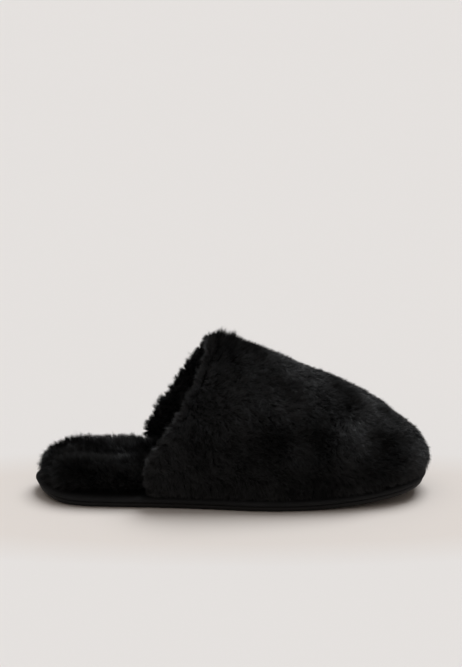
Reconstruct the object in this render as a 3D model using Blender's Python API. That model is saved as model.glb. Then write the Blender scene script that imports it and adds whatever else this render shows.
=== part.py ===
"""Scuff slipper for the right foot: a faux-fur upper and footbed on a fabric-wrapped midsole and a moulded outsole.

Metres, +Z up, toe towards +X, the foot's outer side towards -Y. The origin is on the floor, at the middle of
the slipper's length and width.
"""

import math

import bmesh
import bpy
from mathutils import Vector

# Sole
SOLE_LENGTH = 0.257
BALL_WIDTH = 0.093
HEEL_WIDTH = 0.070
OUTSOLE_THICKNESS = 0.0030
OUTSOLE_INSET = 0.0010
OUTSOLE_CHAMFER = 0.0009
MIDSOLE_THICKNESS = 0.0041
MIDSOLE_SIDE_BULGE = 0.0012
TOE_SPRING = 0.0085
TOE_SPRING_REACH = 0.090
HEEL_SPRING = 0.0050
HEEL_SPRING_REACH = 0.031
TOE_SPRING_CURVE = 2.0
HEEL_SPRING_CURVE = 2.2

# Tread, cut into the flat part of the outsole
GROOVE_WIDTH = 0.0026
GROOVE_DEPTH = 0.0012
GROOVE_PITCH = 0.0085
TREAD_MARGIN = 0.0085

# Upper: backing, foam and the dense part of the pile, as one wall
WALL = 0.0070
COLLAR_HEIGHT = 0.1055
COLLAR_TOP_SETBACK = 0.119
COLLAR_FOOT_SETBACK = 0.0765
COLLAR_FLARE = 0.0042
UPPER_INSET = 0.0012
TOE_OVERHANG = 0.0016
INNER_TIP_RISE = 0.0090
LOCK_LENGTH = 0.0042

# Footbed: foam and the dense part of its pile
FOOTBED_THICKNESS = 0.0220
FOOTBED_INSET = 0.0026
FOOTBED_HEEL_INSET = 0.0034
FOOTBED_HEEL_REACH = 0.026
FOOTBED_DISH = 0.0036
FOOTBED_TAPER = 0.0045

CLEARANCE = 0.0003

OUTLINE_STEPS = 96
FOOTBED_STEPS = 144
ARCH_STEPS = 64
LENGTH_STEPS = 26

# Sole outline from the heel tip to the toe tip, one table for each side.
# Columns: share of the sole's length, share of the half width there.
OUTER_SIDE = (
    (0.000, 0.00),
    (0.014, 0.42),
    (0.058, 0.82),
    (0.125, 1.00),
    (0.210, 1.05),
    (0.320, 1.03),
    (0.440, 1.00),
    (0.560, 1.00),
    (0.640, 0.98),
    (0.730, 0.935),
    (0.815, 0.85),
    (0.885, 0.74),
    (0.940, 0.595),
    (0.976, 0.41),
    (0.995, 0.17),
    (1.000, -0.12),
)
INNER_SIDE = (
    (0.000, 0.00),
    (0.014, 0.42),
    (0.056, 0.79),
    (0.120, 0.96),
    (0.205, 0.98),
    (0.310, 0.93),
    (0.425, 0.89),
    (0.550, 0.94),
    (0.660, 0.99),
    (0.745, 1.00),
    (0.835, 0.95),
    (0.912, 0.81),
    (0.967, 0.58),
    (0.992, 0.36),
    (1.000, 0.12),
)
# Where the half width changes from the heel's to the ball's, as shares of the sole's length.
WIDTH_BLEND = (0.18, 0.66)

# Top line of the upper, from the collar to the toe's foremost point and down to the sole.
# Columns: share of the way from the collar's top to the sole's tip, share of the collar's height above the sole,
# share of TOE_OVERHANG.
RIDGE = (
    (0.000, 1.000, 0.00),
    (0.100, 0.968, 0.00),
    (0.230, 0.900, 0.00),
    (0.370, 0.816, 0.00),
    (0.500, 0.738, 0.00),
    (0.620, 0.660, 0.00),
    (0.730, 0.573, 0.00),
    (0.830, 0.474, 0.00),
    (0.915, 0.374, 0.00),
    (0.960, 0.316, 0.00),
    (0.987, 0.257, 0.10),
    (1.000, 0.200, 0.60),
    (1.000, 0.150, 1.00),
    (1.000, 0.112, 0.95),
)

# Half of the arch across the upper, from the sole to the top line.
# Columns: share of the half width, share of the height.
ARCH = (
    (1.000, 0.00),
    (1.030, 0.09),
    (1.042, 0.21),
    (1.012, 0.37),
    (0.938, 0.53),
    (0.812, 0.69),
    (0.648, 0.825),
    (0.448, 0.927),
    (0.225, 0.983),
)
# Edges of the collar from the sole to its top: the outer side is cut further forward than the inner one.
# Columns: share of the height, share of the way forward.
OUTER_COLLAR = (
    (0.00, 0.02),
    (0.14, 0.02),
    (0.26, 0.08),
    (0.40, 0.31),
    (0.56, 0.56),
    (0.72, 0.75),
    (0.88, 0.92),
    (1.00, 1.00),
)
INNER_COLLAR = (
    (0.00, 0.02),
    (0.14, 0.00),
    (0.26, 0.03),
    (0.40, 0.19),
    (0.56, 0.44),
    (0.72, 0.66),
    (0.88, 0.86),
    (1.00, 1.00),
)
# Over these shares of the upper's length the collar's slant and its flare fade out.
SLANT_FADE = (0.0, 0.45)
FLARE_FADE = (0.0, 0.40)
RIM_ANGLES = (45, 90, 135)
# The rim's locks grow to their full length over these shares of its half, from the foot up.
RIM_LOCK_FADE = (0.08, 0.22)

# Side of the midsole, from the bottom up. Columns: share of MIDSOLE_SIDE_BULGE, share of the thickness.
MIDSOLE_SIDE = ((-0.6, 0.0), (0.45, 0.16), (1.0, 0.42), (0.85, 0.68), (0.1, 0.90), (-1.3, 1.0))

# Side and top of the footbed, from the bottom up.
# Columns: how far in from its edge as a share of FOOTBED_THICKNESS, share of the thickness, lock length as a share.
FOOTBED_RIM = (
    (0.06, 0.00, 0.0),
    (0.00, 0.26, 0.3),
    (0.05, 0.58, 0.7),
    (0.18, 0.86, 1.0),
    (0.34, 0.99, 0.2),
    (0.56, 0.98, 0.0),
)
# Rows across the footbed's hollow. Columns: share of the way to the middle line, share of FOOTBED_DISH.
FOOTBED_HOLLOW = ((0.30, 0.5), (0.62, 0.9), (0.90, 1.0))
# How far the ends of the middle line lie from the footbed's own ends, as a share of the way to its middle.
MIDDLE_LINE_SHARE = 0.25
# Height of the footbed under the foot's front and at the heel's end, as shares of FOOTBED_THICKNESS.
FOREFOOT_PRESSED = 0.60
HEEL_THINNED = 0.79
# Locks of fur, as shares of LOCK_LENGTH: the footbed's longest, its lean outwards and the dips between the locks.
FOOTBED_LOCK = 0.75
FOOTBED_LOCK_LEAN = 0.4
FOOTBED_LOCK_DIP = -0.35
RIM_LOCK_DIP = -0.1
# The locks' sizes as shares of LOCK_LENGTH, and their rhythm: a wave's radians from one lock to the next, how many
# radians it wanders by, and the wandering's own radians from lock to lock.
LOCK_SIZES = (0.44, 1.00)
LOCK_STEP = 2.3
LOCK_WANDER = 1.1
LOCK_WANDER_STEP = 0.7


def smooth(low, high, x):
    """0 below low, 1 above high, with a soft step between."""
    t = min(1.0, max(0.0, (x - low) / (high - low)))
    return t * t * (3 - 2 * t)


def curve_through(points, before=None, after=None, per_span=12):
    """A Catmull-Rom curve through the points, as a fine line of points. Its ends lean on the points past them."""
    ends = [before or 2 * points[0] - points[1], *points, after or 2 * points[-1] - points[-2]]
    line = []
    for a, b, c, d in zip(ends, ends[1:], ends[2:], ends[3:]):
        for k in range(per_span):
            t = k / per_span
            line.append(
                0.5 * (2 * b + (c - a) * t + (2 * a - 5 * b + 4 * c - d) * t**2 + (3 * b - a - 3 * c + d) * t**3)
            )
    line.append(points[-1].copy())
    return line


def evenly(line, count):
    """count + 1 points at equal distances along the line."""
    reach = [0.0]
    for a, b in zip(line, line[1:]):
        reach.append(reach[-1] + (b - a).length)
    found, k = [], 0
    for i in range(count + 1):
        want = reach[-1] * i / count
        while k < len(line) - 2 and reach[k + 1] < want:
            k += 1
        span = reach[k + 1] - reach[k] or 1.0
        found.append(line[k].lerp(line[k + 1], min(1.0, (want - reach[k]) / span)))
    return found


def read_table(rows, x):
    """The second column at x, in straight lines between the rows."""
    if x <= rows[0][0]:
        return rows[0][1]
    for (x0, y0), (x1, y1) in zip(rows, rows[1:]):
        if x <= x1:
            return y0 + (y1 - y0) * (x - x0) / (x1 - x0)
    return rows[-1][1]


def half_width(share):
    return 0.5 * (HEEL_WIDTH + (BALL_WIDTH - HEEL_WIDTH) * smooth(*WIDTH_BLEND, share))


def side_points(rows, sign):
    return [Vector((share * SOLE_LENGTH, sign * width * half_width(share), 0)) for share, width in rows]


def outline(steps, inset=0.0):
    """The sole's outline moved in by inset, or by inset(x): heel tip, outer side, toe tip, inner side."""
    outer, inner = side_points(OUTER_SIDE, -1), side_points(INNER_SIDE, 1)
    outer_line = evenly(curve_through(outer, inner[1], inner[-2]), steps // 2)
    inner_line = evenly(curve_through(inner, outer[1], outer[-2]), steps // 2)
    ring = outer_line[:-1] + inner_line[:0:-1]
    moved = []
    for i, p in enumerate(ring):
        along = (ring[(i + 1) % steps] - ring[i - 1]).normalized()
        inward = Vector((-along.y, along.x, 0))
        moved.append(p + inward * (inset(p.x) if callable(inset) else inset))
    return moved


def spring(x):
    """How far the sole's bottom lies above the floor."""
    toe = max(0.0, x - (SOLE_LENGTH - TOE_SPRING_REACH)) / TOE_SPRING_REACH
    heel = max(0.0, HEEL_SPRING_REACH - x) / HEEL_SPRING_REACH
    return TOE_SPRING * toe**TOE_SPRING_CURVE + HEEL_SPRING * heel**HEEL_SPRING_CURVE


def at_height(ring, height):
    return [Vector((p.x, p.y, spring(p.x) + height)) for p in ring]


def midsole_bottom():
    return OUTSOLE_THICKNESS + CLEARANCE


def midsole_top():
    return midsole_bottom() + MIDSOLE_THICKNESS


def tuft_share(i):
    """Locks of fur differ in length, the same way each time."""
    least, most = LOCK_SIZES
    wave = math.sin(LOCK_STEP * i + LOCK_WANDER * math.sin(LOCK_WANDER_STEP * i))
    return (least + most) / 2 + (most - least) / 2 * wave


def material(name, colour, roughness):
    made = bpy.data.materials.new(name)
    made.use_nodes = True
    shader = made.node_tree.nodes["Principled BSDF"]
    shader.inputs["Base Color"].default_value = (*colour, 1.0)
    shader.inputs["Roughness"].default_value = roughness
    shader.inputs["Metallic"].default_value = 0.0
    return made


def add_object(name, mesh, made, smooth_angle):
    mesh.shade_smooth()
    mesh.set_sharp_from_angle(angle=math.radians(smooth_angle))
    mesh.materials.append(made)
    obj = bpy.data.objects.new(name, mesh)
    bpy.context.scene.collection.objects.link(obj)
    return obj


def mesh_from_rings(name, rings):
    """A closed body from rings of equal length, with a cap of strips across the first and the last ring."""
    steps = len(rings[0])
    bm = bmesh.new()
    rows = [[bm.verts.new(p) for p in ring] for ring in rings]
    for low, high in zip(rows, rows[1:]):
        for i in range(steps):
            j = (i + 1) % steps
            bm.faces.new((low[i], low[j], high[j], high[i]))
    for row in (rows[0], rows[-1]):
        bm.faces.new((row[0], row[1], row[-1]))
        for i in range(1, steps // 2 - 1):
            bm.faces.new((row[i], row[i + 1], row[steps - i - 1], row[steps - i]))
        tip = steps // 2
        bm.faces.new((row[tip - 1], row[tip], row[tip + 1]))
    bmesh.ops.recalc_face_normals(bm, faces=bm.faces)
    mesh = bpy.data.meshes.new(name)
    bm.to_mesh(mesh)
    bm.free()
    return mesh


def groove_cutter():
    """Bars across the heel and the forefoot, as long as the sole is wide there less the margins."""
    bm = bmesh.new()
    ring = outline(OUTLINE_STEPS, TREAD_MARGIN)
    half = OUTLINE_STEPS // 2
    outer = [(p.x, p.y) for p in ring[: half + 1]]
    inner = [(p.x, p.y) for p in [ring[0], *ring[:half - 1:-1]]]
    flat_from = HEEL_SPRING_REACH + GROOVE_WIDTH
    flat_to = SOLE_LENGTH - TOE_SPRING_REACH - GROOVE_WIDTH
    count = int((flat_to - flat_from) / GROOVE_PITCH)
    for k in range(count + 1):
        x = flat_from + k * GROOVE_PITCH
        low, high = read_table(outer, x), read_table(inner, x)
        made = bmesh.ops.create_cube(bm, size=1.0)["verts"]
        bmesh.ops.scale(bm, vec=(GROOVE_WIDTH, high - low, 2 * GROOVE_DEPTH), verts=made)
        bmesh.ops.translate(bm, vec=(x, (low + high) / 2, 0), verts=made)
    mesh = bpy.data.meshes.new("tread_cutter")
    bm.to_mesh(mesh)
    bm.free()
    cutter = bpy.data.objects.new("tread_cutter", mesh)
    bpy.context.scene.collection.objects.link(cutter)
    cutter.hide_render = True
    cutter.display_type = "WIRE"
    return cutter


def make_outsole(made):
    edge = OUTSOLE_INSET
    rings = [
        at_height(outline(OUTLINE_STEPS, edge + OUTSOLE_CHAMFER), 0.0),
        at_height(outline(OUTLINE_STEPS, edge), OUTSOLE_CHAMFER),
        at_height(outline(OUTLINE_STEPS, edge), OUTSOLE_THICKNESS),
    ]
    obj = add_object("outsole", mesh_from_rings("outsole", rings), made, 40)
    cut = obj.modifiers.new("tread", "BOOLEAN")
    cut.operation = "DIFFERENCE"
    cut.object = groove_cutter()
    return obj


def make_midsole(made):
    """The foam platform in its fabric wrap: a rounded band all round, above the outsole."""
    rings = []
    for bulge, height in MIDSOLE_SIDE:
        ring = outline(OUTLINE_STEPS, MIDSOLE_SIDE_BULGE * (1 - bulge))
        rings.append(at_height(ring, midsole_bottom() + height * MIDSOLE_THICKNESS))
    return add_object("midsole", mesh_from_rings("midsole", rings), made, 50)


def footbed_inset(x):
    """The footbed reaches the sole's edge behind the collar and lies inside the upper's wall in front of it."""
    inside = UPPER_INSET + WALL + 2 * CLEARANCE
    foot = COLLAR_FOOT_SETBACK - WALL / 2 - CLEARANCE
    behind = FOOTBED_INSET + (FOOTBED_HEEL_INSET - FOOTBED_INSET) * (1 - smooth(0.0, FOOTBED_HEEL_REACH, x))
    return behind + (inside - behind) * smooth(foot - FOOTBED_TAPER, foot, x)


def footbed_height(x):
    """The footbed slopes up from the heel's end and is pressed down under the foot's front."""
    pressed = smooth(COLLAR_FOOT_SETBACK, COLLAR_TOP_SETBACK, x)
    sloped = 1 - smooth(0.0, FOOTBED_HEEL_REACH, x)
    return FOOTBED_THICKNESS * (1 + (FOREFOOT_PRESSED - 1) * pressed + (HEEL_THINNED - 1) * sloped)


def lock_here(i, row, x):
    """Alternate points of alternate rows stand out as locks of fur, behind the collar."""
    open_heel = 1 - smooth(COLLAR_FOOT_SETBACK - FOOTBED_TAPER, COLLAR_FOOT_SETBACK, x)
    return open_heel * LOCK_LENGTH * FOOTBED_LOCK * (tuft_share(i) if (i + row) % 2 else FOOTBED_LOCK_DIP)


def make_footbed(made):
    bottom = midsole_top() + CLEARANCE
    edge = outline(FOOTBED_STEPS, footbed_inset)
    rings = []
    for row, (inward, height, lock) in enumerate(FOOTBED_RIM):
        ring = outline(FOOTBED_STEPS, lambda x, d=inward: footbed_inset(x) + d * FOOTBED_THICKNESS)
        line = []
        for i, p in enumerate(ring):
            out = (edge[i] - ring[i]).normalized() if inward else Vector((0, 0, 0))
            tuft = lock * lock_here(i, row, p.x)
            z = spring(p.x) + bottom + height * footbed_height(p.x)
            line.append(Vector((p.x, p.y, z)) + tuft * (FOOTBED_LOCK_LEAN * out + Vector((0, 0, height))))
        rings.append(line)
    rim = rings[-1]
    for share, dish in FOOTBED_HOLLOW:
        line = []
        for i, p in enumerate(rim):
            across = rim[-i] if i else rim[0]
            middle = 0.5 * (p + across)
            middle.x += (SOLE_LENGTH / 2 - middle.x) * MIDDLE_LINE_SHARE
            q = p.lerp(middle, share)
            z = spring(q.x) + bottom + footbed_height(q.x) - dish * FOOTBED_DISH
            line.append(Vector((q.x, q.y, z)))
        rings.append(line)
    return add_object("footbed", mesh_from_rings("footbed", rings), made, 60)


def from_foot_to_tip(ring, sign):
    """One side of a ring of the outline, from the collar's foot to the toe tip, as LENGTH_STEPS + 1 points."""
    half = len(ring) // 2
    side = ring[: half + 1] if sign < 0 else [ring[0], *ring[: half - 1 : -1]]
    front = [p for p in side if p.x > COLLAR_FOOT_SETBACK]
    behind = [p for p in side if p.x <= COLLAR_FOOT_SETBACK][-1]
    share = (COLLAR_FOOT_SETBACK - behind.x) / (front[0].x - behind.x)
    return evenly([behind.lerp(front[0], share), *front], LENGTH_STEPS)


def ridge_line(depth, tip):
    """The upper's top line, moved in by depth, ending at tip."""
    base = midsole_top() + CLEARANCE
    reach = SOLE_LENGTH - COLLAR_TOP_SETBACK
    points = []
    for forward, height, hang in RIDGE:
        x = COLLAR_TOP_SETBACK + forward * reach + hang * TOE_OVERHANG
        z = base + height * (COLLAR_HEIGHT - base)
        points.append(Vector((x, tip.y * smooth(0.0, 1.0, forward), z)))
    line = curve_through(points)
    if depth:
        moved = []
        for i, p in enumerate(line):
            a, b = line[max(i - 1, 0)], line[min(i + 1, len(line) - 1)]
            inward = Vector((b.z - a.z, 0, a.x - b.x)).normalized()
            moved.append(p + inward * depth)
        line = [p for p in moved if p.z > tip.z + INNER_TIP_RISE or p.x < tip.x]
    return evenly([p for p in line if p.z > tip.z] + [tip], LENGTH_STEPS)


def arch_line():
    """The whole arch across the upper, outer side to inner side, as shares of half width and height."""
    half = [Vector((-width, height, 0)) for width, height in ARCH]
    points = [*half, Vector((0, 1, 0)), *[Vector((-p.x, p.y, 0)) for p in reversed(half)]]
    return evenly(curve_through(points), ARCH_STEPS)


def slant(edge, height, along):
    """How far a point of an arch lies from its foot towards its top line: the collar's edge fades to a plain lean."""
    fade = smooth(*SLANT_FADE, along)
    return read_table(edge, height) * (1 - fade) + height * fade


def collar_flare(height, along):
    """How far the sides stand out over the sole at the collar, where the foot goes in."""
    return COLLAR_FLARE * math.sin(math.pi * height) * (1 - smooth(*FLARE_FADE, along))


def shell(depth):
    """Points of the upper's surface at a depth inside its fur: rows of arches from the collar on, and the toe tip."""
    ring = outline(4 * OUTLINE_STEPS, UPPER_INSET + depth)
    base = midsole_top() + CLEARANCE
    outer, inner = from_foot_to_tip(ring, -1), from_foot_to_tip(ring, 1)
    tip = ring[len(ring) // 2]
    tip = Vector((tip.x, tip.y, spring(tip.x) + base))
    ridge = ridge_line(depth, tip)
    arch = arch_line()
    rows = []
    for s in range(LENGTH_STEPS):
        row = []
        for width, height, _ in arch:
            foot, edge = (outer[s], OUTER_COLLAR) if width < 0 else (inner[s], INNER_COLLAR)
            z = spring(foot.x) + base
            lean = slant(edge, height, s / LENGTH_STEPS)
            flare = collar_flare(height, s / LENGTH_STEPS) * math.copysign(1, width)
            row.append(
                Vector(
                    (
                        foot.x + (ridge[s].x - foot.x) * lean,
                        ridge[s].y + (foot.y - ridge[s].y) * abs(width) + flare,
                        z + (ridge[s].z - z) * height,
                    )
                )
            )
        rows.append(row)
    return rows, tip


def rolled_rim(outside, inside):
    """Rows of points round the collar's edge, from the outer wall to the inner one, with locks of fur standing out."""
    rows = []
    for k, angle in enumerate(RIM_ANGLES):
        turn = math.radians(angle)
        row = []
        for j, (a, b) in enumerate(zip(outside[0], inside[0])):
            middle, half = (a + b) / 2, (a - b) / 2
            back = (outside[0][j] - outside[1][j]).normalized()
            end = j in (0, ARCH_STEPS)
            grown = smooth(*RIM_LOCK_FADE, min(j, ARCH_STEPS - j) / (ARCH_STEPS / 2))
            lock = grown * LOCK_LENGTH * (tuft_share(j) if (j + k) % 2 else RIM_LOCK_DIP)
            p = middle + half * math.cos(turn) + back * (half.length + lock) * math.sin(turn)
            if end:
                p.z = a.z
            row.append(p)
        rows.append(row)
    return rows


def make_upper(made):
    """One hollow body: outer wall, rolled collar and inner wall, open behind and underneath."""
    outside, outer_tip = shell(0.0)
    inside, inner_tip = shell(WALL)
    rows = [*reversed(outside), *rolled_rim(outside, inside), *inside]
    bm = bmesh.new()
    grid = [[bm.verts.new(p) for p in row] for row in rows]
    tips = bm.verts.new(outer_tip), bm.verts.new(inner_tip)
    for low, high in zip(grid, grid[1:]):
        for j in range(ARCH_STEPS):
            bm.faces.new((low[j], low[j + 1], high[j + 1], high[j]))
    for tip, row in zip(tips, (grid[0], grid[-1])):
        for j in range(ARCH_STEPS):
            bm.faces.new((tip, row[j], row[j + 1]))
    for j in (0, ARCH_STEPS):
        column = [row[j] for row in grid]
        out, roll, back = column[:LENGTH_STEPS], column[LENGTH_STEPS:-LENGTH_STEPS], column[-LENGTH_STEPS:]
        bm.faces.new((tips[0], out[0], back[-1], tips[1]))
        for k in range(LENGTH_STEPS - 1):
            bm.faces.new((out[k], out[k + 1], back[-k - 2], back[-k - 1]))
        bm.faces.new((out[-1], *roll, back[0]))
    bmesh.ops.recalc_face_normals(bm, faces=bm.faces)
    mesh = bpy.data.meshes.new("upper")
    bm.to_mesh(mesh)
    bm.free()
    return add_object("upper", mesh, made, 60)


def centre_on_floor(objects):
    """Moves the whole slipper so that the middle of its length and width is over the origin."""
    points = [v.co for obj in objects for v in obj.data.vertices]
    low = Vector([min(p[i] for p in points) for i in range(2)] + [0.0])
    high = Vector([max(p[i] for p in points) for i in range(2)] + [0.0])
    offset = (low + high) / -2
    for obj in bpy.data.objects:
        obj.location = offset


def main():
    for obj in list(bpy.data.objects):
        bpy.data.objects.remove(obj)
    fur = material("black_fur", (0.012, 0.012, 0.013), 0.85)
    footbed_fur = material("black_footbed_fur", (0.010, 0.010, 0.011), 0.9)
    wrap = material("black_wrap", (0.018, 0.018, 0.020), 0.7)
    rubber = material("black_rubber", (0.015, 0.015, 0.016), 0.6)
    centre_on_floor([make_outsole(rubber), make_midsole(wrap), make_footbed(footbed_fur), make_upper(fur)])


main()
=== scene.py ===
"""Looks of the faux-fur scuff slipper: its piles, the wrapped midsole, the rubber outsole, studio and camera.

Metres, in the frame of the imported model: +Z up, toe towards +X, the foot's outer side towards -Y. Each fur
surface is a soft backing and a pile of tapered blades that stand in it. The random draws are seeded, with one
generator for each pile.
"""

import math

import bmesh
import bpy
import numpy as np
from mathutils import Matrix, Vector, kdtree


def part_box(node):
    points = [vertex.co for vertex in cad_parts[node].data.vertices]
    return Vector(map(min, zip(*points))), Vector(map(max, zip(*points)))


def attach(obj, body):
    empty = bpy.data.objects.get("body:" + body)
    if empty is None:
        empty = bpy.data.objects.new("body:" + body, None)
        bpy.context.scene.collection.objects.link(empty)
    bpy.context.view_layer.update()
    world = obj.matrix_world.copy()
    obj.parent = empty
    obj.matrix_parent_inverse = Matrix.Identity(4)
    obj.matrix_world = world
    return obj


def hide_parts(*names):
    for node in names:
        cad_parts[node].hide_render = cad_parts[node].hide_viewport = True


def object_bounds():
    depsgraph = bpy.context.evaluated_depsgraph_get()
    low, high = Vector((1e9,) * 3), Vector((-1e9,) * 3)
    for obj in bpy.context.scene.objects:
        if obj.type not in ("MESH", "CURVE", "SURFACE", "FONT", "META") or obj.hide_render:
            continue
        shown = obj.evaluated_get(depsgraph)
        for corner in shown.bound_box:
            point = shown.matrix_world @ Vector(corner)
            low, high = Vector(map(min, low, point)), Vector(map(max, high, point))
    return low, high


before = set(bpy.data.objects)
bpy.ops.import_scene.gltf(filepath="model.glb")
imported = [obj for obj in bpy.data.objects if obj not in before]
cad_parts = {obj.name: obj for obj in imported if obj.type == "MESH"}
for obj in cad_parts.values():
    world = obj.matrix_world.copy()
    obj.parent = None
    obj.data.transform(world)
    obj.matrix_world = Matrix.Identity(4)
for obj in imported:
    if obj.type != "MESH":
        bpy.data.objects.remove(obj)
cad_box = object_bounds()

# Camera: the photo's frame in pixels, where the slipper's middle lies in it, and the scale there
FRAME_SIZE = (462, 667)
MIDDLE_AT = (232.3, 424.6)
METRES_PER_PIXEL = 0.0006597
MIDDLE_HEIGHT = 0.045
CAMERA_DISTANCE = 1.5
CAMERA_ELEVATION = 17.5
SENSOR = 36.0
CLIP_END = 50.0

# Studio: the floor, the dim warm room and two cooler lights from above
FLOOR_HALF = 8.0
FLOOR_COLOUR = (0.800, 0.768, 0.745)
FLOOR_MOTTLE = 1.004
# Painted shade on the paper: a little darker and warmer round the slipper. By how much, the patch's middle
# and reach, and its soft border as a share of that reach.
PAINTED_SHADE_SHARE = (0.945, 0.910, 0.880)
PAINTED_SHADE_MIDDLE = (0.0, -0.028, 0.0)
PAINTED_SHADE_REACH = (0.34, 0.115, 1.0)
PAINTED_SHADE_BORDER = 0.35
ROOM_LIGHT = 0.235
ROOM_COLOUR = (1.0, 0.90, 0.82)
LIGHT_COLOUR = (1.0, 1.038, 1.069)
# Columns: name, strength, then in degrees its width, its tilt from upright to behind the slipper, and its
# turn towards the toe.
LIGHTS = (("key", 2.05, 38, 26, 36), ("wide", 0.49, 80, 8, 0))

# Soft forms under the fur: voxel size, rounds of smoothing, and how far under them the backings lie
FUR_VOXEL = 0.0014
UPPER_ROUNDS = 8
FOOTBED_ROUNDS = 30
UPPER_SINK = 0.0026
FOOTBED_SINK = 0.0030

# Sole pieces: voxel size, rounds of smoothing, share of their triangles kept, how far the wrap bulges
# sideways, and how far the outsole's top rises where it faces up
SOLE_VOXEL = 0.0009
SOLE_ROUNDS = 3
SOLE_KEPT = 0.35
WRAP_BULGE = 0.0010
OUTSOLE_RISE = 0.0006
FACES_UP = (0.2, 0.8)

# Colours of the fur: where it parts, as painted shade; over most of it; and where it lies flat, as a painted
# sheen
UPPER_FUR = ((0.0040, 0.0041, 0.0043), (0.0076, 0.0079, 0.0083), (0.032, 0.0328, 0.0344))
# The lining's colours are a lighter copy of the same fur: painted light for its shaded inside
LINING_FUR_PAINTED_LIGHT = ((0.012, 0.0123, 0.0129), (0.030, 0.0308, 0.0323), (0.060, 0.0615, 0.0645))
FOOTBED_FUR = ((0.0046, 0.0047, 0.0049), (0.0120, 0.0124, 0.0130), (0.034, 0.0348, 0.0362))
# Colour of the knitted backings, and the darker and the lighter colour of the wrap and of the rubber
KNIT = (0.004, 0.004, 0.0042)
WRAP_COLOURS = ((0.0140, 0.0144, 0.0150), (0.0190, 0.0195, 0.0205))
RUBBER_COLOURS = ((0.004, 0.004, 0.0045), (0.009, 0.009, 0.009))

# Piles of fur. Each blade stands in the backing and bends over by its lean. Blades of one clump share a lean
# and draw together at their tips.
# Columns: blades, seed, length, lean in degrees, width at the root, distance between clumps, pull of a clump,
# how unequal the clumps are, pieces.
UPPER_PILE = (165000, 11, 0.0050, 44, 0.00019, 0.0012, 0.30, 0.08, 3)
LINING_PILE = (22000, 31, 0.0052, 50, 0.00018, 0.0026, 0.50, 0.08, 1)
RIM_PILE = (18000, 51, 0.0066, 14, 0.00014, 0.0024, 0.75, 0.22, 1)
FOOTBED_PILE = (44000, 41, 0.0058, 24, 0.00017, 0.0020, 0.42, 0.10, 1)
FOOTBED_RIM_PILE = (12000, 61, 0.0062, 16, 0.00014, 0.0017, 0.62, 0.16, 1)

# How blades differ: spreads of whole clumps and of single blades, the first two in radians, the shade from 0
# to 1
HEADING_SPREAD = (0.48, 0.40)
LEAN_SPREAD = (0.12, 0.15)
SHADE_SPREAD = (0.18, 0.22)
# Spread of a blade's turn about itself, and the least and the most lean, in radians
TURN_SPREAD = 0.65
LEAN_LIMITS = (0.05, 1.35)
# A blade's shade where the tone is 0, and how much more of it where the tone is 1
SHADE_MIDDLE = 0.44
SHADE_GAIN = 0.34
# Ranges of single blades, as shares of the pile's length and width and of the clump's pull
LENGTH_RANGE = (0.80, 1.12)
WIDTH_RANGE = (0.75, 1.2)
PULL_RANGE = (0.35, 1.0)
# A blade narrows towards this share of its width and ends in a point. Its bend lies these shares of its
# length up the normal and along the lean.
BLADE_TAPER = 0.8
BEND_UP = 0.50
BEND_ALONG = 0.08

# Dents, swells, partings and swirls of the upper's pile.
# Columns: place as shares of the slipper's length, half width and height; radius; depth, which is below 0 for
# a swell; tone, from -1, painted shade where the pile's depth shows, to 1, painted sheen where it lies flat.
DENTS = (
    (0.590, -0.92, 0.43, 0.016, 0.0018, -0.8),
    (0.728, -0.81, 0.47, 0.011, 0.0020, -1.1),
    (0.712, -0.90, 0.39, 0.009, 0.0012, -0.8),
    (0.892, -0.63, 0.36, 0.012, 0.0022, -1.3),
    (0.871, -0.66, 0.38, 0.010, 0.0010, -0.8),
    (0.850, -0.79, 0.28, 0.010, 0.0012, -1.0),
    (0.785, -0.33, 0.65, 0.010, 0.0012, -1.2),
    (0.755, -0.93, 0.16, 0.010, 0.0006, -0.6),
    (0.881, -0.15, 0.54, 0.008, 0.0010, -0.8),
    (0.704, -0.97, 0.19, 0.014, 0.0012, -0.8),
    (0.433, -0.72, 0.71, 0.014, 0.0010, -0.6),
    (0.400, -0.90, 0.47, 0.012, 0.0008, -0.5),
    (0.520, -0.80, 0.61, 0.014, -0.0008, 0.7),
    (0.640, -0.73, 0.61, 0.013, -0.0008, 0.6),
    (0.621, -0.11, 0.86, 0.013, -0.0010, 1.3),
    (0.687, -0.24, 0.78, 0.011, -0.0008, 1.2),
    (0.841, -0.08, 0.61, 0.011, -0.0008, 0.7),
    (0.787, -0.80, 0.40, 0.013, -0.0012, 0.6),
    (0.817, -0.52, 0.55, 0.012, -0.0006, 0.7),
    (0.760, -0.73, 0.51, 0.007, 0.0, 0.7),
    (0.958, -0.41, 0.26, 0.014, -0.0006, 0.1),
    (0.928, -0.62, 0.25, 0.009, -0.0004, 0.2),
    (0.677, -0.94, 0.37, 0.010, -0.0005, 0.4),
    (0.560, 0.85, 0.50, 0.015, 0.0016, -0.9),
    (0.700, 0.80, 0.40, 0.013, 0.0018, -0.9),
    (0.840, 0.60, 0.42, 0.012, 0.0014, -0.8),
    (0.620, 0.55, 0.72, 0.013, -0.0008, 0.8),
    (0.480, 0.75, 0.62, 0.013, -0.0008, 0.6),
    (0.770, 0.70, 0.30, 0.013, -0.0010, 0.6),
    (0.920, 0.50, 0.28, 0.013, -0.0006, 0.6),
)

# The same for the footbed's pile, with the same columns: its tone is painted shade and painted sheen.
FOOTBED_PATCHES = (
    (0.200, -0.04, 0.24, 0.018, 0.0, 0.35),
    (0.245, -0.62, 0.27, 0.010, 0.0, 0.6),
    (0.255, -0.18, 0.24, 0.019, 0.0, 0.4),
    (0.235, 0.40, 0.25, 0.014, 0.0, 0.6),
    (0.290, 0.52, 0.26, 0.014, 0.0, 0.8),
    (0.205, 0.58, 0.26, 0.012, 0.0, 0.3),
    (0.120, -0.58, 0.28, 0.012, 0.0, -0.7),
    (0.290, 0.12, 0.24, 0.015, 0.0, 0.1),
    (0.125, -0.10, 0.23, 0.018, 0.0008, -1.0),
    (0.090, -0.55, 0.20, 0.020, 0.0, -0.3),
    (0.055, 0.05, 0.25, 0.013, 0.0, 0.5),
)

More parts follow.
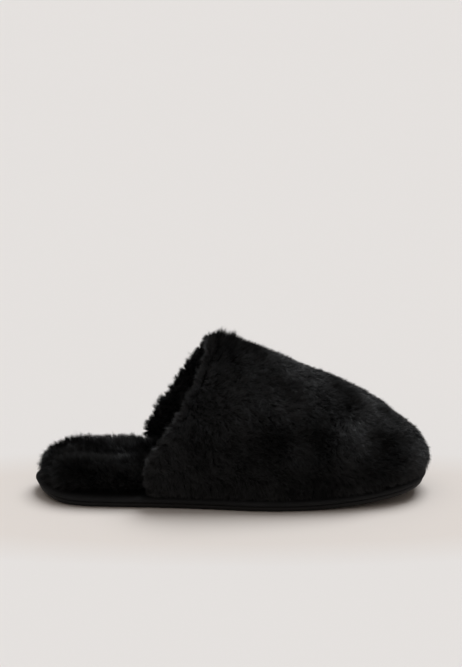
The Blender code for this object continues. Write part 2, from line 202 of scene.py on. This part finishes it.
# The collar's rolled edge: how far it swells, how far in from the edge its middle lies, and its half width
ROLL = 0.0006
ROLL_MIDDLE = 0.0030
ROLL_WIDTH = 0.0030

# The upper's hollow: the height of its middle line, and how far that line ends behind the toe
UPPER_MIDDLE_HEIGHT = 0.030
HOLLOW_BEHIND_TOE = 0.045
# The collar's edge is read at this many heights and evened out over this many neighbours. Its two sides meet
# within a half width, and distances from it are taken across its slant.
EDGE_STEPS = 33
EDGE_EVENED = 5
EDGE_MIDDLE = 0.008
EDGE_SLANT = 0.82

# Which points of the upper are dented, outside or inside, by how much they face away from the hollow
DENTED_FACING = (-0.1, 0.3)
OUTSIDE_FACING = (-0.35, 0.2)
INSIDE_FACING = (0.35, -0.2)
# What faces down as steeply as this, this low, is the side that stands on the sole and has no fur.
SOLE_SIDE_FACING = -0.7
SOLE_SIDE_HEIGHT = 0.012
# The vamp's pile is denser at the collar's edge, and the lining's is thinner deep inside: zones and shares
DENSER_ZONE, DENSER = (0.0, 0.008), 0.8
DEEP_ZONE, DEEP_THINNER = (0.030, 0.075), 0.8
# The collar's tufts grow this near the edge, where it faces back.
TUFT_ZONE = (0.001, 0.005)
TUFT_FACING = (-0.1, -0.6)

# Which way the upper's pile lies: on the vamp's face, low above the sole, back over the collar's edge, up at
# the collar's top, between face and edge, and in the lining
LAY_FACE = np.array((0.85, 0, -0.45))
LAY_FOOT = np.array((0.25, 0, -0.97))
LAY_EDGE = np.array((-0.90, 0, 0.15))
LAY_TOP = np.array((-0.30, 0, 0.95))
LAY_TURN = np.array((-0.1, 0, -1.0))
LAY_LINING = np.array((-0.9, 0, 0.3))
# Zones of the vamp's pile in metres from the collar's edge: where it turns over, the crest, the lip, the
# shine, and both ends of the fringe
TURN_ZONE = (0.001, 0.009)
CREST_ZONE = (0.002, 0.006)
LIP_ZONE = (0.003, 0.009)
SHINE_ZONE = (0.008, 0.032)
FRINGE_START = (0.002, 0.008)
FRINGE_END = (0.014, 0.024)
# In metres above the sole, and back from the toe
FOOT_ZONE = (0.004, 0.016)
TOE_REACH = 0.018
# In shares of the upper's height: where the collar's pile rises, the crest, and where the tufts lie down
HIGH_ZONE = (0.55, 0.95)
TOP_ZONE = (0.80, 0.97)
TUFT_HIGH_ZONE = (0.60, 0.95)
# The collar's far side, in metres across it, and how strong the flow along the surface is where it parts and
# where it doesn't
FAR_SIDE = (-0.010, 0.010)
FLOW_ZONE = (0.05, 0.6)
# Lean in radians: more where the pile lies flat, less where it parts, on the crest and in its fringe
LEAN_FLAT, LEAN_PARTED, LEAN_CREST, LEAN_FRINGE = 0.25, 0.30, 0.35, 0.25
# Tone: of the lip and of the shine near the collar, a painted highlight along its rolled edge; how much of
# both the crest loses; gain of the dents' tone
TONE_LIP, TONE_SHINE, TONE_CREST, TONE_GAIN = 0.10, 1.15, 0.4, 1.25
# Length: more at the toe, on the crest and in its fringe, uneven at the lip and in the fringe, less at the
# lip's top, and the least of all
LONG_TOE, LONG_CREST, LONG_FRINGE = 0.35, 0.15, 0.42
UNEVEN_LIP, UNEVEN_FRINGE = 0.34, 0.28
SHORT_TOP, LEAST_LONG = 0.35, 0.3
# The collar's tufts: length near, more of it on the far side and less at the top, lean at the top, tone, and
# the painted shade that darkens them on the far side
TUFT_LONG, TUFT_LONG_FAR, TUFT_SHORT_TOP = 0.70, 0.36, 0.12
TUFT_LEAN_TOP = 0.6
TUFT_TONE, TUFT_PAINTED_SHADE_FAR = 0.05, 0.25

# The footbed's pile: where the upper covers it, and how much of the pile it loses there
COVERED_ZONE, COVERED_LESS = (-0.055, 0.030), 0.85
# By how much it faces up: its pile grows on all but its underside, its tufts on its side, above this height.
PILE_FACING = (-0.6, -0.2)
SIDE_FACING, SIDE_TOP_FACING = (-0.1, 0.3), (0.75, 0.95)
SIDE_ZONE = (0.006, 0.011)
# By how much its side faces up, how far in its heel reaches, and how high the heel's low part is
HANGING_FACING = (0.3, 0.8)
HEEL_ZONE = (0.006, 0.030)
LOW_ZONE = (0.006, 0.016)
# The pile lies up along the side, down at the heel, and a little back.
SIDE_RISE, HEEL_FALL, SWIRL_BACK = 0.8, 1.5, 0.2
# How much darker it is everywhere, and the painted shade on the heel's hanging side
FOOTBED_DARK, HEEL_PAINTED_SHADE = 0.05, 0.45
# Lean in radians, more where it lies flat and at the heel, and length, more low on the heel
FOOTBED_LEAN_FLAT, HEEL_LEAN, HEEL_LONG = 0.2, 0.2, 0.45

# Boxes of the upper and the footbed, and the heights at which the collar's edge is read
upper_low, upper_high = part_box("upper")
footbed_low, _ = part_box("footbed")
EDGE_HEIGHTS = np.linspace(upper_low.z, upper_high.z, EDGE_STEPS)


def smooth(low, high, x):
    """0 below low, 1 above high, with a soft step between; x is a number or an array."""
    t = np.clip((x - low) / (high - low), 0.0, 1.0)
    return t * t * (3 - 2 * t)


def unit(v):
    return v / np.maximum(np.linalg.norm(v, axis=-1, keepdims=True), 1e-12)


def waves(points, size, seed, count=7):
    """Soft noise between about -1 and 1 with features of the given size: a sum of plane waves."""
    rng = np.random.default_rng(seed)
    total = np.zeros(len(points))
    for _ in range(count):
        direction = unit(rng.normal(size=3)) * (2 * math.pi / size) * rng.uniform(0.6, 1.4)
        total += np.sin(points @ direction + rng.uniform(0, 2 * math.pi))
    return total / math.sqrt(count)


def uneven(points, *rows):
    """A sum of waves. Columns of the rows: amount, size, seed."""
    return sum(amount * waves(points, size, seed) for amount, size, seed in rows)


def place(shares):
    """A point given as shares of the slipper's length, half width and height."""
    low, high = cad_box
    x = low[0] + shares[0] * (high[0] - low[0])
    y = (low[1] + high[1]) / 2 + shares[1] * (high[1] - low[1]) / 2
    return np.array((x, y, low[2] + shares[2] * (high[2] - low[2])))


def dents_at(points, rows):
    """Depth of the dents, and the pile's tone at each point, which is painted shade and sheen."""
    depth, tone = np.zeros(len(points)), np.zeros(len(points))
    for *shares, radius, deep, shade in rows:
        near = np.exp(-(((points - place(shares)) / radius) ** 2).sum(1))
        depth += deep * near
        tone += shade * near
    return depth, np.clip(tone, -1, 1)


def link(name, mesh):
    obj = bpy.data.objects.new(name, mesh)
    bpy.context.scene.collection.objects.link(obj)
    return obj


def welded_copy(node, name):
    """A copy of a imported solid's mesh with its points joined up."""
    bm = bmesh.new()
    bm.from_mesh(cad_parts[node].data)
    bmesh.ops.remove_doubles(bm, verts=bm.verts, dist=1e-6)
    mesh = bpy.data.meshes.new(name)
    bm.to_mesh(mesh)
    bm.free()
    return link(name, mesh)


def softened(node, name, voxel, rounds, kept=1.0):
    """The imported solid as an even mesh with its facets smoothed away, thinned to a share of its triangles."""
    obj = welded_copy(node, name)
    even = obj.modifiers.new("even", "REMESH")
    even.mode = "VOXEL"
    even.voxel_size = voxel
    obj.modifiers.new("soft", "SMOOTH").iterations = rounds
    if kept < 1.0:
        obj.modifiers.new("sparse", "DECIMATE").ratio = kept
    graph = bpy.context.evaluated_depsgraph_get()
    mesh = bpy.data.meshes.new_from_object(obj.evaluated_get(graph))
    bpy.data.objects.remove(obj)
    return mesh


class Surface:
    """Points, triangles, normals and triangle areas of a mesh, as arrays."""

    def __init__(self, mesh):
        mesh.calc_loop_triangles()
        self.points = np.empty(len(mesh.vertices) * 3)
        mesh.vertices.foreach_get("co", self.points)
        self.points = self.points.reshape(-1, 3)
        self.triangles = np.empty(len(mesh.loop_triangles) * 3, int)
        mesh.loop_triangles.foreach_get("vertices", self.triangles)
        self.triangles = self.triangles.reshape(-1, 3)
        self.renew()

    def renew(self):
        a, b, c = (self.points[self.triangles[:, k]] for k in range(3))
        cross = np.cross(b - a, c - a)
        self.areas = np.linalg.norm(cross, axis=1) / 2
        self.normals = np.zeros_like(self.points)
        for k in range(3):
            np.add.at(self.normals, self.triangles[:, k], cross)
        self.normals = unit(self.normals)

    def scatter(self, count, weights, rng):
        """Random points with their normals, denser where the weights of the mesh's points are larger."""
        share = self.areas * weights[self.triangles].mean(1)
        chosen = rng.choice(len(self.triangles), size=count, p=share / share.sum())
        u, v = rng.random(count), rng.random(count)
        over = u + v > 1
        u[over], v[over] = 1 - u[over], 1 - v[over]
        mix = np.stack([1 - u - v, u, v], 1)[:, :, None]
        corners = self.triangles[chosen]
        return (self.points[corners] * mix).sum(1), unit((self.normals[corners] * mix).sum(1))

    def mesh(self, name):
        mesh = bpy.data.meshes.new(name)
        mesh.from_pydata(self.points.tolist(), [], self.triangles.tolist())
        mesh.shade_smooth()
        return mesh


def nearest(seeds, points):
    """Index of the seed nearest to each point."""
    tree = kdtree.KDTree(len(seeds))
    for i, seed in enumerate(seeds):
        tree.insert(seed, i)
    tree.balance()
    return np.array([tree.find(p)[1] for p in points])


def thinned(points, pitch, rng):
    """Some of the points, no two of them closer than pitch."""
    cells, kept = {}, []
    for i in rng.permutation(len(points)):
        p = points[i]
        key = tuple((p // pitch).astype(int))
        around = (
            cells.get((key[0] + a, key[1] + b, key[2] + c), ())
            for a in (-1, 0, 1) for b in (-1, 0, 1) for c in (-1, 0, 1)
        )
        if all(((points[j] - p) @ (points[j] - p)) >= pitch**2 for cell in around for j in cell):
            cells.setdefault(key, []).append(i)
            kept.append(i)
    return np.array(kept)


def blades(name, roots, controls, tips, normals, width, tone, rng, segments=2):
    """One mesh of tapered blades along quadratic curves, each turned at random about its own direction."""
    count = len(roots)
    along = unit(tips - roots)
    side = unit(np.cross(along, normals))
    turn = rng.normal(0, TURN_SPREAD, count)[:, None]
    side = side * np.cos(turn) + np.cross(along, side) * np.sin(turn)
    steps = np.arange(segments) / segments
    per = 2 * segments + 1
    co = np.empty((count, per, 3))
    for k, t in enumerate(steps):
        centre = (1 - t) ** 2 * roots + 2 * t * (1 - t) * controls + t**2 * tips
        half = side * (width * (1 - (1 - BLADE_TAPER) * t) / 2)[:, None]
        co[:, 2 * k] = centre - half
        co[:, 2 * k + 1] = centre + half
    co[:, -1] = tips
    first = np.arange(count)[:, None] * per
    loops = []
    for k in range(segments - 1):
        loops.append(first + np.array([2 * k, 2 * k + 1, 2 * k + 3, 2 * k + 2]))
    loops.append(first + np.array([per - 3, per - 2, per - 1]))
    sizes = np.tile([4] * (segments - 1) + [3], count)
    order = np.concatenate(loops, axis=1).ravel()
    mesh = bpy.data.meshes.new(name)
    mesh.vertices.add(count * per)
    mesh.vertices.foreach_set("co", co.ravel())
    mesh.loops.add(len(order))
    mesh.loops.foreach_set("vertex_index", order)
    mesh.polygons.add(len(sizes))
    mesh.polygons.foreach_set("loop_start", np.concatenate([[0], np.cumsum(sizes)[:-1]]))
    mesh.update(calc_edges=True)
    stored = mesh.attributes.new("tone", "FLOAT", "POINT")
    stored.data.foreach_set("value", np.repeat(tone, per).astype(np.float32))
    depth = mesh.attributes.new("tip", "FLOAT", "POINT")
    reach = np.append(np.repeat(steps, 2), 1.0)
    depth.data.foreach_set("value", np.tile(reach, count).astype(np.float32))
    return link(name, mesh)


def node_material(name):
    made = bpy.data.materials.new(name)
    made.use_nodes = True
    return made, made.node_tree.nodes, made.node_tree.links, made.node_tree.nodes["Principled BSDF"]


def ramp(nodes, links, source, stops):
    made = nodes.new("ShaderNodeValToRGB")
    links.new(source, made.inputs["Fac"])
    ends = made.color_ramp.elements
    for i, (at, colour) in enumerate(stops):
        stop = ends[i] if i < 2 else ends.new(at)
        stop.position = at
        stop.color = (*colour, 1)
    return made.outputs["Color"]


def noise(nodes, links, place_at, scale, detail):
    made = nodes.new("ShaderNodeTexNoise")
    made.inputs["Scale"].default_value = scale
    made.inputs["Detail"].default_value = detail
    links.new(place_at.outputs["Object"], made.inputs["Vector"])
    return made.outputs["Fac"]


def bump(nodes, links, shader, height, distance, strength=1.0):
    made = nodes.new("ShaderNodeBump")
    made.inputs["Strength"].default_value = strength
    made.inputs["Distance"].default_value = distance
    links.new(height, made.inputs["Height"])
    links.new(made.outputs["Normal"], shader.inputs["Normal"])


def roughness(nodes, links, shader, source, low, high):
    """Roughness that goes from low to high as the source goes from 0 to 1."""
    made = nodes.new("ShaderNodeMapRange")
    links.new(source, made.inputs["Value"])
    made.inputs["To Min"].default_value = low
    made.inputs["To Max"].default_value = high
    links.new(made.outputs["Result"], shader.inputs["Roughness"])


def fur_material(name, colours):
    """Black acrylic blades: painted shade at the root and where the pile parts; a painted sheen and lower
    roughness where it lies flat.
    """
    made, nodes, links, shader = node_material(name)
    tone, tip = nodes.new("ShaderNodeAttribute"), nodes.new("ShaderNodeAttribute")
    tone.attribute_name = "tone"
    tip.attribute_name = "tip"
    # Painted shade at the roots: each blade is lighter towards its tip
    shade = nodes.new("ShaderNodeMath")
    shade.operation = "MULTIPLY_ADD"
    links.new(tip.outputs["Fac"], shade.inputs[0])
    shade.inputs[1].default_value = 0.25
    links.new(tone.outputs["Fac"], shade.inputs[2])
    fur = ramp(nodes, links, shade.outputs[0], zip((0.0, 0.55, 1.0), colours))
    links.new(fur, shader.inputs["Base Color"])
    roughness(nodes, links, shader, tone.outputs["Fac"], 0.65, 0.46)
    shader.inputs["Specular IOR Level"].default_value = 0.35
    return made


def backing_material(name):
    """Knitted backing under the pile, with short dense fibres."""
    made, nodes, links, shader = node_material(name)
    fibres = noise(nodes, links, nodes.new("ShaderNodeTexCoord"), 900, 4)
    darker = tuple(0.4 * c for c in KNIT)
    links.new(ramp(nodes, links, fibres, ((0.3, darker), (0.7, KNIT))), shader.inputs["Base Color"])
    bump(nodes, links, shader, fibres, 0.0006)
    shader.inputs["Roughness"].default_value = 0.9
    shader.inputs["Specular IOR Level"].default_value = 0.1
    return made


def wrap_material():
    """Black woven tape round the midsole: fine crossed threads and slightly uneven dye."""
    made, nodes, links, shader = node_material("wrap_fabric")
    place_at = nodes.new("ShaderNodeTexCoord")
    weave = nodes.new("ShaderNodeMath")
    weave.operation = "MAXIMUM"
    for i, axis in enumerate(("X", "Z")):
        threads = nodes.new("ShaderNodeTexWave")
        threads.wave_type = "BANDS"
        threads.bands_direction = axis
        threads.inputs["Scale"].default_value = 480
        threads.inputs["Distortion"].default_value = 1.5
        links.new(place_at.outputs["Object"], threads.inputs["Vector"])
        links.new(threads.outputs["Fac"], weave.inputs[i])
    dye = ramp(nodes, links, noise(nodes, links, place_at, 60, 5), zip((0.3, 0.7), WRAP_COLOURS))
    links.new(dye, shader.inputs["Base Color"])
    bump(nodes, links, shader, weave.outputs[0], 0.0002, 0.6)
    shader.inputs["Roughness"].default_value = 0.75
    shader.inputs["Specular IOR Level"].default_value = 0.09
    return made


def rubber_material():
    """Matt black moulded rubber, with a fine grain and dull scuffs where it meets the floor."""
    made, nodes, links, shader = node_material("outsole_rubber")
    place_at = nodes.new("ShaderNodeTexCoord")
    grain = noise(nodes, links, place_at, 1400, 3)
    scuffs = noise(nodes, links, place_at, 45, 7)
    links.new(ramp(nodes, links, scuffs, zip((0.4, 0.75), RUBBER_COLOURS)), shader.inputs["Base Color"])
    roughness(nodes, links, shader, scuffs, 0.5, 0.8)
    bump(nodes, links, shader, grain, 0.0002, 0.4)
    shader.inputs["Specular IOR Level"].default_value = 0.35
    return made


def outward(points):
    """Direction from the middle line of the upper's hollow to each point."""
    centre = np.zeros_like(points)
    centre[:, 0] = np.minimum(points[:, 0], upper_high.x - HOLLOW_BEHIND_TOE)
    centre[:, 2] = UPPER_MIDDLE_HEIGHT
    return unit(points - centre)


def collar_edge(side):
    """The collar's edge from the side, -1 the outer and 1 the inner: its rearmost x for each height."""
    co = np.array([v.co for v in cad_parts["upper"].data.vertices])
    co = co[co[:, 1] * side > -EDGE_MIDDLE]
    step = EDGE_HEIGHTS[1] - EDGE_HEIGHTS[0]
    edge = [co[np.abs(co[:, 2] - h) < step][:, 0].min() for h in EDGE_HEIGHTS]
    return np.convolve(np.pad(edge, EDGE_EVENED // 2, "edge"), np.ones(EDGE_EVENED) / EDGE_EVENED, "valid")


OUTER_EDGE, INNER_EDGE = collar_edge(-1), collar_edge(1)


def from_collar(points):
    """Distance of each point from the collar's edge, across the slant of the edge."""
    outer, inner = (np.interp(points[:, 2], EDGE_HEIGHTS, edge) for edge in (OUTER_EDGE, INNER_EDGE))
    share = smooth(-EDGE_MIDDLE, EDGE_MIDDLE, points[:, 1])
    return (points[:, 0] - outer * (1 - share) - inner * share) * EDGE_SLANT


def turned(flow, normals, angle):
    """Flow turned about the normals by an angle for each point."""
    angle = angle[:, None]
    return flow * np.cos(angle) + np.cross(normals, flow) * np.sin(angle)


def along_surface(flow, normals):
    return flow - normals * (flow * normals).sum(1, keepdims=True)


def grow(name, form, pile, weights, sink, lay, made):
    """A pile of blades on a form.

    lay(points, normals) gives the lean's direction, more lean, share of the pile's length, and tone.
    """
    count, seed, length, lean, width, pitch, pull, unequal, pieces = pile
    rng = np.random.default_rng(seed)
    points, normals = form.scatter(count, weights, rng)
    heads, more, grown, tone = lay(points, normals)
    centres = thinned(points, pitch, rng)
    own = nearest(points[centres], points)
    total = len(centres)

    def shared(spread):
        return rng.normal(0, spread, total)[own]

    def varied(spreads):
        return shared(spreads[0]) + rng.normal(0, spreads[1], count)

    heads = turned(heads, normals, varied(HEADING_SPREAD))
    angle = np.clip(np.radians(lean) + more + varied(LEAN_SPREAD), *LEAN_LIMITS)[:, None]
    size = (length * grown * (1 + shared(unequal)) * rng.uniform(*LENGTH_RANGE, count))[:, None]
    roots = points - normals * sink
    tips = roots + size * (normals * np.cos(angle) + heads * np.sin(angle))
    held = (pull * rng.uniform(*PULL_RANGE, count))[:, None]
    tips = tips * (1 - held) + tips[centres][own] * held
    controls = roots + size * (BEND_UP * normals + BEND_ALONG * heads)
    # A blade's colour carries the tone's painted shade and sheen, with a random spread
    shade = np.clip(SHADE_MIDDLE + SHADE_GAIN * tone + varied(SHADE_SPREAD), 0, 1)
    widths = width * rng.uniform(*WIDTH_RANGE, count)
    for k, part in enumerate(np.array_split(rng.permutation(count), pieces)):
        piece = blades(
            f"{name}_{k + 1}" if pieces > 1 else name,
            roots[part], controls[part], tips[part], normals[part], widths[part], shade[part], rng,
        )
        piece.data.materials.append(made)
        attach(piece, "root")


def scene_camera():
    data = bpy.data.cameras.new("camera")
    focal_pixels = CAMERA_DISTANCE / METRES_PER_PIXEL
    data.sensor_width = SENSOR
    data.lens = SENSOR * focal_pixels / FRAME_SIZE[1]
    data.clip_end = CLIP_END
    camera = link("camera", data)
    rise = math.radians(CAMERA_ELEVATION)
    camera.location = (
        0.0,
        -CAMERA_DISTANCE * math.cos(rise),
        MIDDLE_HEIGHT + CAMERA_DISTANCE * math.sin(rise),
    )
    down = rise - math.atan((MIDDLE_AT[1] - FRAME_SIZE[1] / 2) / focal_pixels)
    aside = math.atan((MIDDLE_AT[0] - FRAME_SIZE[0] / 2) / focal_pixels)
    camera.rotation_euler = (math.pi / 2 - down, 0.0, aside)
    bpy.context.scene.camera = camera


def studio():
    half = FLOOR_HALF
    mesh = bpy.data.meshes.new("floor")
    corners = [(-half, -half, 0), (half, -half, 0), (half, half, 0), (-half, half, 0)]
    mesh.from_pydata(corners, [], [(0, 1, 2, 3)])
    floor = link("floor", mesh)
    made, nodes, links, shader = node_material("floor_paper")
    place_at = nodes.new("ShaderNodeTexCoord")
    paler = tuple(FLOOR_MOTTLE * c for c in FLOOR_COLOUR)
    paper = ramp(nodes, links, noise(nodes, links, place_at, 2, 2), ((0.3, FLOOR_COLOUR), (0.7, paler)))
    # Painted shade: the paper is darker and warmer in a soft patch round the slipper
    zone = nodes.new("ShaderNodeMapping")
    zone.vector_type = "TEXTURE"
    zone.inputs["Location"].default_value = PAINTED_SHADE_MIDDLE
    zone.inputs["Scale"].default_value = PAINTED_SHADE_REACH
    links.new(place_at.outputs["Object"], zone.inputs["Vector"])
    near = nodes.new("ShaderNodeTexGradient")
    near.gradient_type = "SPHERICAL"
    links.new(zone.outputs["Vector"], near.inputs["Vector"])
    painted_shade = ramp(nodes, links, near.outputs["Fac"], ((0.0, (1, 1, 1)), (PAINTED_SHADE_BORDER, PAINTED_SHADE_SHARE)))
    tinted = nodes.new("ShaderNodeVectorMath")
    tinted.operation = "MULTIPLY"
    links.new(paper, tinted.inputs[0])
    links.new(painted_shade, tinted.inputs[1])
    links.new(tinted.outputs["Vector"], shader.inputs["Base Color"])
    shader.inputs["Roughness"].default_value = 0.95
    shader.inputs["Specular IOR Level"].default_value = 0.0
    mesh.materials.append(made)
    world = bpy.data.worlds.new("studio")
    world.use_nodes = True
    room = world.node_tree.nodes["Background"]
    room.inputs["Color"].default_value = (*ROOM_COLOUR, 1)
    room.inputs["Strength"].default_value = ROOM_LIGHT
    bpy.context.scene.world = world
    bpy.context.scene.view_settings.view_transform = "Standard"
    for name, strength, width, tilt, turn in LIGHTS:
        data = bpy.data.lights.new(name, "SUN")
        data.energy = strength
        data.color = LIGHT_COLOUR
        data.angle = math.radians(width)
        link(name, data).rotation_euler = (math.radians(-tilt), 0, math.radians(-turn))


def backing(name, form, sink, node):
    """The knitted ground of a pile, sink under the form's surface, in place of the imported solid."""
    ground = Surface(form.mesh(name))
    ground.points = form.points - form.normals * sink
    piece = link(name, ground.mesh(name))
    piece.data.materials.append(backing_material(name))
    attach(piece, "root")
    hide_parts(node)
    return piece


def upper_lay(points, normals):
    """The vamp's pile lies forward and down, turns back over the collar's edge, and stands up at its top."""
    rim, foot = from_collar(points), points[:, 2] - upper_low.z
    share = foot / (upper_high.z - upper_low.z)
    near = (1 - smooth(*TURN_ZONE, rim))[:, None]
    low = (1 - smooth(*FOOT_ZONE, foot))[:, None]
    high = smooth(*HIGH_ZONE, share)[:, None]
    face = LAY_FACE * (1 - low) + LAY_FOOT * low
    back = LAY_EDGE * (1 - high) + LAY_TOP * high
    flow = face * (1 - near) ** 2 + LAY_TURN * (1 - high) * 2 * near * (1 - near) + back * near**2
    flow = along_surface(flow, normals)
    parted = 1 - smooth(*FLOW_ZONE, np.linalg.norm(flow, axis=1))
    flow = turned(unit(flow), normals, uneven(points, (0.5, 0.045, 5), (0.35, 0.014, 6)))
    top = smooth(*TOP_ZONE, share)
    crest = top * smooth(*CREST_ZONE, rim)
    fringe = crest * smooth(*FRINGE_START, rim) * (1 - smooth(*FRINGE_END, rim))
    lip = 1 - smooth(*LIP_ZONE, rim)
    # Tone: painted shade in the dents, painted sheen where the pile lies flat, painted highlight at the
    # collar's edge
    _, tone = dents_at(points, DENTS)
    more = LEAN_FLAT * tone - LEAN_PARTED * parted + uneven(points, (0.12, 0.02, 7))
    shine = TONE_SHINE * (1 - smooth(*SHINE_ZONE, rim))
    edge = (TONE_LIP + uneven(points, (0.20, 0.004, 12))) * lip + shine
    tone = TONE_GAIN * tone + edge * (1 - TONE_CREST * crest)
    tone = tone + uneven(points, (0.22, 0.03, 8), (0.25, 0.008, 9))
    toe = smooth(upper_high.x - TOE_REACH, upper_high.x, points[:, 0])
    grown = 1 + LONG_TOE * toe + LONG_CREST * crest + LONG_FRINGE * fringe
    grown = grown + lip * uneven(points, (UNEVEN_LIP, 0.005, 10))
    grown = grown + fringe * uneven(points, (UNEVEN_FRINGE, 0.004, 13))
    grown = np.maximum(grown - SHORT_TOP * lip * top, LEAST_LONG)
    return flow, more - LEAN_CREST * crest - LEAN_FRINGE * fringe, grown, tone


def lining_lay(points, normals):
    """The lining's pile lies towards the mouth."""
    flow = unit(along_surface(LAY_LINING, normals))
    flow = turned(flow, normals, uneven(points, (0.5, 0.02, 15)))
    # Its tone is raised by a half as painted light in the shaded lining, with random tone about it
    return flow, np.zeros(len(points)), np.ones(len(points)), 0.5 + uneven(points, (0.3, 0.02, 16))


def rim_lay(points, normals):
    """Tufts stand out from the collar's edge: long on its far side, short on its near side and at its top."""
    high = smooth(*TUFT_HIGH_ZONE, (points[:, 2] - upper_low.z) / (upper_high.z - upper_low.z))
    far = smooth(*FAR_SIDE, points[:, 1]) * (1 - high)
    flow = unit(along_surface(LAY_TOP, normals))
    more = TUFT_LEAN_TOP * high + uneven(points, (0.25, 0.012, 52))
    grown = TUFT_LONG + TUFT_LONG_FAR * far - TUFT_SHORT_TOP * high + uneven(points, (0.12, 0.006, 54))
    # Painted shade: the tufts are darker on the far side
    return flow, more, grown, TUFT_TONE - TUFT_PAINTED_SHADE_FAR * far + uneven(points, (0.2, 0.02, 53))


def make_upper():
    form = Surface(softened("upper", "upper_form", FUR_VOXEL, UPPER_ROUNDS))
    depth, _ = dents_at(form.points, DENTS)
    facing = (form.normals * outward(form.points)).sum(1)
    roll = ROLL * np.exp(-(((from_collar(form.points) - ROLL_MIDDLE) / ROLL_WIDTH) ** 2))
    form.points = form.points + form.normals * ((roll - depth) * smooth(*DENTED_FACING, facing))[:, None]
    form.renew()
    backing("upper_backing", form, UPPER_SINK, "upper")
    facing = (form.normals * outward(form.points)).sum(1)
    rim = from_collar(form.points)
    low = form.points[:, 2] - upper_low.z < SOLE_SIDE_HEIGHT
    furry = ~((form.normals[:, 2] < SOLE_SIDE_FACING) & low)
    outside = smooth(*OUTSIDE_FACING, facing) * (1 + DENSER * (1 - smooth(*DENSER_ZONE, rim))) * furry
    inside = smooth(*INSIDE_FACING, facing) * (1 - DEEP_THINNER * smooth(*DEEP_ZONE, rim)) * furry
    edge = (1 - smooth(*TUFT_ZONE, rim)) * smooth(*TUFT_FACING, form.normals[:, 0]) * furry
    # The lining's fur is the same fur made lighter, as painted light
    fur, lining = fur_material("upper_fur", UPPER_FUR), fur_material("lining_fur_painted_light", LINING_FUR_PAINTED_LIGHT)
    grow("vamp_pile", form, UPPER_PILE, outside, UPPER_SINK, upper_lay, fur)
    grow("lining_pile", form, LINING_PILE, inside, UPPER_SINK, lining_lay, lining)
    grow("collar_tufts", form, RIM_PILE, edge, UPPER_SINK, rim_lay, fur)


def footbed_lay(points, normals):
    """The footbed's pile swirls a little in its hollow, lies up along its side and hangs down at its heel."""
    side = 1 - smooth(*HANGING_FACING, normals[:, 2])
    heel = side * (1 - smooth(*(footbed_low.x + reach for reach in HEEL_ZONE), points[:, 0]))
    low = 1 - smooth(*LOW_ZONE, points[:, 2] - footbed_low.z)
    flow = np.stack(
        [
            uneven(points, (0.3, 0.03, 21)) - SWIRL_BACK,
            uneven(points, (0.6, 0.03, 22)),
            SIDE_RISE * side - HEEL_FALL * heel,
        ],
        1,
    )
    flow = unit(along_surface(flow, normals))
    # Tone: painted shade and painted sheen of the patches
    _, tone = dents_at(points, FOOTBED_PATCHES)
    # Darker overall, painted shade on the heel's hanging side, and random tone
    tone = tone - FOOTBED_DARK - HEEL_PAINTED_SHADE * heel + uneven(points, (0.22, 0.012, 24))
    more = FOOTBED_LEAN_FLAT * tone + uneven(points, (0.1, 0.02, 23)) + HEEL_LEAN * heel
    return flow, more, 1 + HEEL_LONG * heel * low, tone


def make_footbed():
    form = Surface(softened("footbed", "footbed_form", FUR_VOXEL, FOOTBED_ROUNDS))
    depth, _ = dents_at(form.points, FOOTBED_PATCHES)
    form.points = form.points - form.normals * depth[:, None]
    form.renew()
    piece = backing("footbed_pad", form, FOOTBED_SINK, "footbed")
    covered = smooth(*COVERED_ZONE, form.points[:, 0])
    up = form.normals[:, 2]
    weight = smooth(*PILE_FACING, up) * (1 - COVERED_LESS * covered)
    rim = smooth(*SIDE_FACING, up) * (1 - smooth(*SIDE_TOP_FACING, up))
    rim = rim * smooth(*SIDE_ZONE, form.points[:, 2] - footbed_low.z) * (1 - covered)
    fur = fur_material("footbed_fur", FOOTBED_FUR)
    grow("footbed_pile", form, FOOTBED_PILE, weight, FOOTBED_SINK, footbed_lay, fur)
    grow("footbed_rim_tufts", form, FOOTBED_RIM_PILE, rim, FOOTBED_SINK, footbed_lay, fur)


def fine_piece(name, node, made, swell):
    """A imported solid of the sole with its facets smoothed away. swell(normals) moves its points."""
    form = Surface(softened(node, name, SOLE_VOXEL, SOLE_ROUNDS, SOLE_KEPT))
    form.points = form.points + swell(form.normals)
    piece = link(name, form.mesh(name))
    piece.data.materials.append(made)
    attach(piece, "root")
    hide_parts(node)


def wrap_swell(normals):
    """The wrap bulges sideways."""
    return normals * np.array((1, 1, 0)) * WRAP_BULGE


def outsole_swell(normals):
    """The outsole's top closes up with the wrap."""
    return smooth(*FACES_UP, normals[:, 2])[:, None] * np.array((0, 0, OUTSOLE_RISE))


def make_sole():
    fine_piece("midsole_wrap", "midsole", wrap_material(), wrap_swell)
    fine_piece("outsole_form", "outsole", rubber_material(), outsole_swell)


scene_camera()
studio()
make_upper()
make_footbed()
make_sole()
